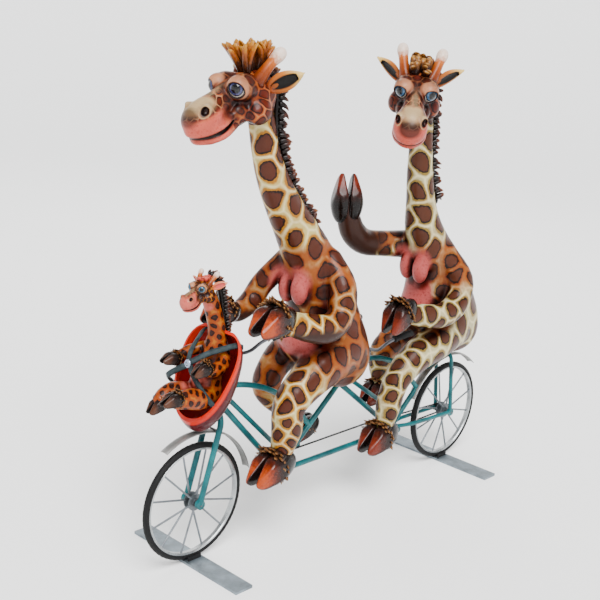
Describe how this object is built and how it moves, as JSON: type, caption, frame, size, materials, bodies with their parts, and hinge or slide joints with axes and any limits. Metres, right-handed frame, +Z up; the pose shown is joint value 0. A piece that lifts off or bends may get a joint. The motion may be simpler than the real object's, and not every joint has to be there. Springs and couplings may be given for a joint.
{
  "type": "tandem bicycle sculpture",
  "caption": "Tabletop sculpture: giraffes ride a teal steel tandem bicycle with turning wheels on flat feet, a calf strapped in a red child seat ahead of the handlebar.",
  "frame": {"origin": "middle of the front foot bar's underside, straight below the front axle", "axes": "+Z up, -X the way the bicycle heads, +Y the riders' right, the chain side"},
  "size_m": [0.6, 0.18, 0.5796],
  "materials": {
    "foot_steel": "flat bar with a silver-grey satin coat",
    "black_rubber": "plain black",
    "tyre": "satin black",
    "rim_silver": "satin silver",
    "hub_grey": "satin grey",
    "spoke_grey": "satin grey",
    "fender_grey": "warm grey, slightly worn",
    "bar_grey": "hammered grey",
    "frame_teal": "teal enamel, darker in the recesses",
    "chain_black": "black",
    "seat_red": "red-orange rim over a crimson shell",
    "strap_grey": "slate grey",
    "buckle_silver": "bright",
    "coat_cream": "hand-painted cast resin: cream net, ochre halos, brown patches",
    "coat_brown": "hand-painted cast resin: red-brown head, pink muzzle",
    "calf_orange": "hand-painted cast resin: orange-yellow with small brown dots",
    "horn_orange": "orange-brown with pale tips",
    "mane_dark": "dark brown with golden tips",
    "hoof_chestnut": "glossy chestnut to orange",
    "hoof_dark": "dark brown"
  },
  "bodies": {
    "frame_and_riders": {"arch_tubes": "frame_teal", "bottom_bracket_shells": "frame_teal", "bottom_tube": "frame_teal", "calf_body": "calf_orange", "calf_head": "calf_orange", "calf_hooves": "hoof_dark", "calf_horns_ears": "horn_orange", "calf_limbs": "calf_orange", "calf_mane": "mane_dark", "chain_stays": "frame_teal", "chainrings": "chain_black", "chains": "chain_black", "crank_arms": "frame_teal", "crank_axles": "hub_grey", "down_tubes": "frame_teal", "foot_bars": "foot_steel", "fork": "frame_teal", "front_fender": "fender_grey", "front_handlebar": "bar_grey", "front_rider_arms": "coat_cream", "front_rider_body": "coat_cream", "front_rider_head": "coat_brown", "front_rider_hooves": "hoof_chestnut", "front_rider_horns_ears": "horn_orange", "front_rider_legs": "coat_cream", "front_rider_mane": "mane_dark", "grips": "black_rubber", "harness_buckle": "buckle_silver", "harness_straps": "strap_grey", "head_tube": "frame_teal", "headset_cups": "hub_grey", "hub_cones": "hub_grey", "pedals": "black_rubber", "rear_fender": "fender_grey", "rear_handlebar": "bar_grey", "rear_rider_arms": "coat_cream", "rear_rider_body": "coat_cream", "rear_rider_head": "coat_brown", "rear_rider_hooves": "hoof_chestnut", "rear_rider_horns_ears": "horn_orange", "rear_rider_legs": "coat_cream", "rear_rider_mane": "mane_dark", "rear_sprocket": "chain_black", "saddle_plates": "frame_teal", "seat_bracket": "bar_grey", "seat_shell": "seat_red", "seat_stays": "frame_teal", "seat_tubes": "frame_teal", "tyre_cradles": "black_rubber", "wheel_axles": "hub_grey"},
    "front_wheel": {"front_tyre": "tyre", "front_rim": "rim_silver", "front_hub": "hub_grey", "front_spokes": "spoke_grey"},
    "rear_wheel": {"rear_tyre": "tyre", "rear_rim": "rim_silver", "rear_hub": "hub_grey", "rear_spokes": "spoke_grey"}
  },
  "joints": [
    {"name": "front_wheel_spin", "type": "hinge", "parent": "frame_and_riders", "child": "front_wheel", "pos_m": [0, 0, 0.0733], "axis": [0, 1, 0], "continuous": true},
    {"name": "rear_wheel_spin", "type": "hinge", "parent": "frame_and_riders", "child": "rear_wheel", "pos_m": [0.46, 0, 0.0733], "axis": [0, 1, 0], "continuous": true}
  ]
}
